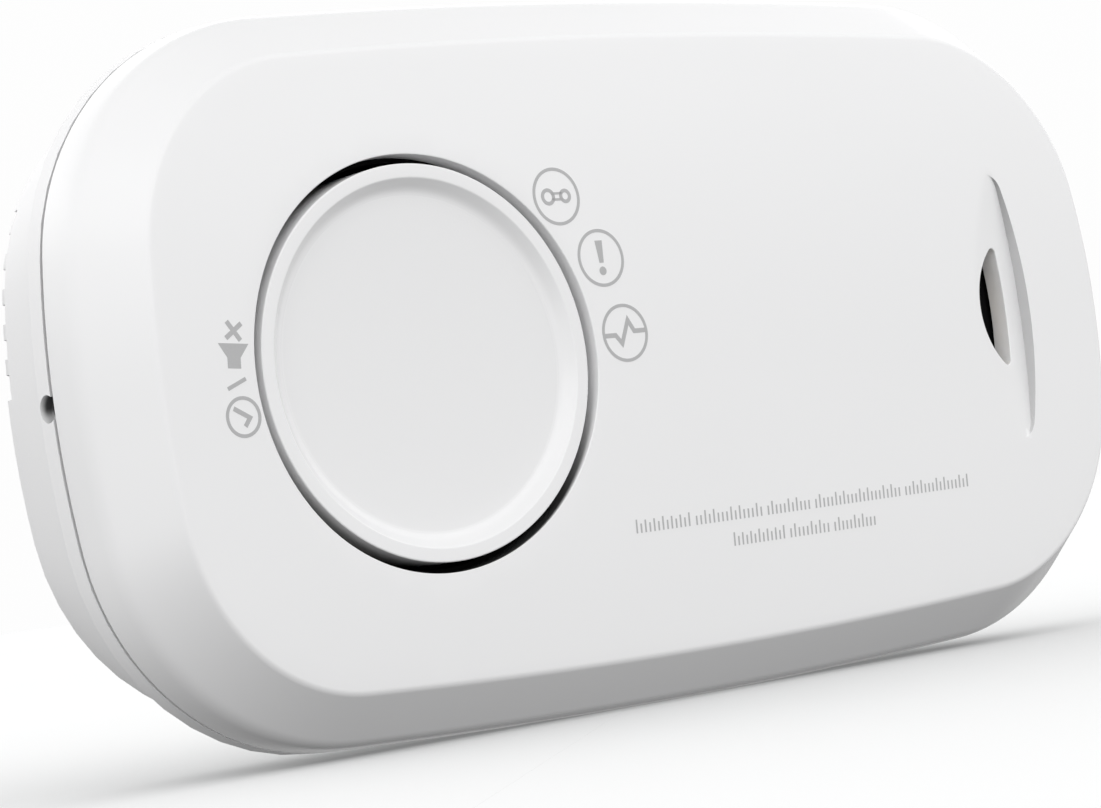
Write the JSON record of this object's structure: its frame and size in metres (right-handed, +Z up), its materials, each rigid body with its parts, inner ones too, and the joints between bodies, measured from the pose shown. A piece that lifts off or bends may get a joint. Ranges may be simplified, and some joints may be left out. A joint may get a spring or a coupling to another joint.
{
  "type": "carbon monoxide detector",
  "caption": "Low wide white wall or shelf gas alarm with a bowed face, a large round test button, a sounder slot, a hinged battery door and a sliding wall plate.",
  "frame": {"origin": "under the middle of the assembly, on the surface it stands on", "axes": "+X to the right as the face is seen, the face looks to -Y, +Z up; the wall plate is at +Y"},
  "size_m": [0.12, 0.027, 0.0662],
  "materials": {
    "cover_white": "glossy moulded white",
    "housing_white": "fine-textured moulded white",
    "button_white": "satin dish inside a glossy rim",
    "plate_white": "fine-textured moulded white",
    "guide_dark": "black moulded plastic",
    "spring_steel": "bright drawn wire",
    "board_green": "green solder mask",
    "component_grey": "moulded epoxy",
    "component_black": "moulded epoxy",
    "capacitor_sleeve": "shrink sleeve with a bright top",
    "coil_copper": "enamelled copper on a black bobbin",
    "led_red": "tinted clear resin",
    "led_amber": "tinted clear resin",
    "led_green": "tinted clear resin",
    "clear_guide": "clear moulded light guide",
    "can_steel": "drawn steel can",
    "sensor_grey": "moulded grey",
    "contact_brass": "bright brass",
    "seal_rubber": "soft seal",
    "mesh_steel": "woven fine mesh",
    "foam_dark": "closed-cell foam",
    "piezo_white": "fired ceramic with a silvered face",
    "lead_red": "soft insulation",
    "lead_black": "soft insulation",
    "cell_wrap": "plain printed wrap over a steel can",
    "contact_nickel": "nickel-plated strip",
    "label_paper": "blank satin label",
    "screw_zinc": "zinc-plated steel"
  },
  "bodies": {
    "case": {"front_cover": "cover_white", "rear_housing": "housing_white", "button_guide_ring": "guide_dark", "button_springs": "spring_steel", "main_board": "board_green", "board_components": "component_grey", "microcontroller": "component_black", "reservoir_capacitor": "capacitor_sleeve", "sounder_coil": "coil_copper", "switch_body": "component_grey", "alarm_led": "led_red", "fault_led": "led_amber", "power_led": "led_green", "alarm_light_guide": "clear_guide", "fault_light_guide": "clear_guide", "power_light_guide": "clear_guide", "light_shroud": "guide_dark", "sensor_can": "can_steel", "sensor_cap": "sensor_grey", "sensor_pins": "contact_brass", "sensor_seal": "seal_rubber", "vent_mesh": "mesh_steel", "sounder_horn": "guide_dark", "sounder_gasket": "foam_dark", "piezo_disc": "contact_brass", "piezo_ceramic": "piezo_white", "sounder_clamp_ring": "housing_white", "sounder_lead_red": "lead_red", "sounder_lead_black": "lead_black", "upper_cell": "cell_wrap", "lower_cell": "cell_wrap", "cell_springs": "spring_steel", "cell_contacts": "contact_nickel", "bridge_contact": "contact_nickel", "door_hinge_pin": "spring_steel", "case_screws": "screw_zinc", "board_screws": "screw_zinc"},
    "button": {"test_button": "button_white"},
    "plunger": {"switch_plunger": "component_black"},
    "door": {"battery_door": "housing_white", "door_foam_strip": "foam_dark", "rating_label": "label_paper"},
    "plate": {"wall_plate": "plate_white"}
  },
  "joints": [
    {"name": "button_press", "type": "slide", "parent": "case", "child": "button", "axis": [0, 1, 0], "range_m": [0, 0.0008], "stiffness_N_per_m": 800, "springref_m": -0.001, "deforming": ["button_springs"]},
    {"name": "plunger_press", "type": "slide", "parent": "case", "child": "plunger", "axis": [0, 1, 0], "range_m": [0, 0.0008]},
    {"name": "door_swing", "type": "hinge", "parent": "case", "child": "door", "pos_m": [0.0534, 0.00935, 0.033], "axis": [0, 0, -1], "range_deg": [0, 95]},
    {"name": "plate_slide", "type": "slide", "parent": "case", "child": "plate", "axis": [-1, 0, 0], "range_m": [0, 0.008]}
  ],
  "couplings": [
    {"joint": "plunger_press", "follows": "button_press", "ratio": 1}
  ]
}
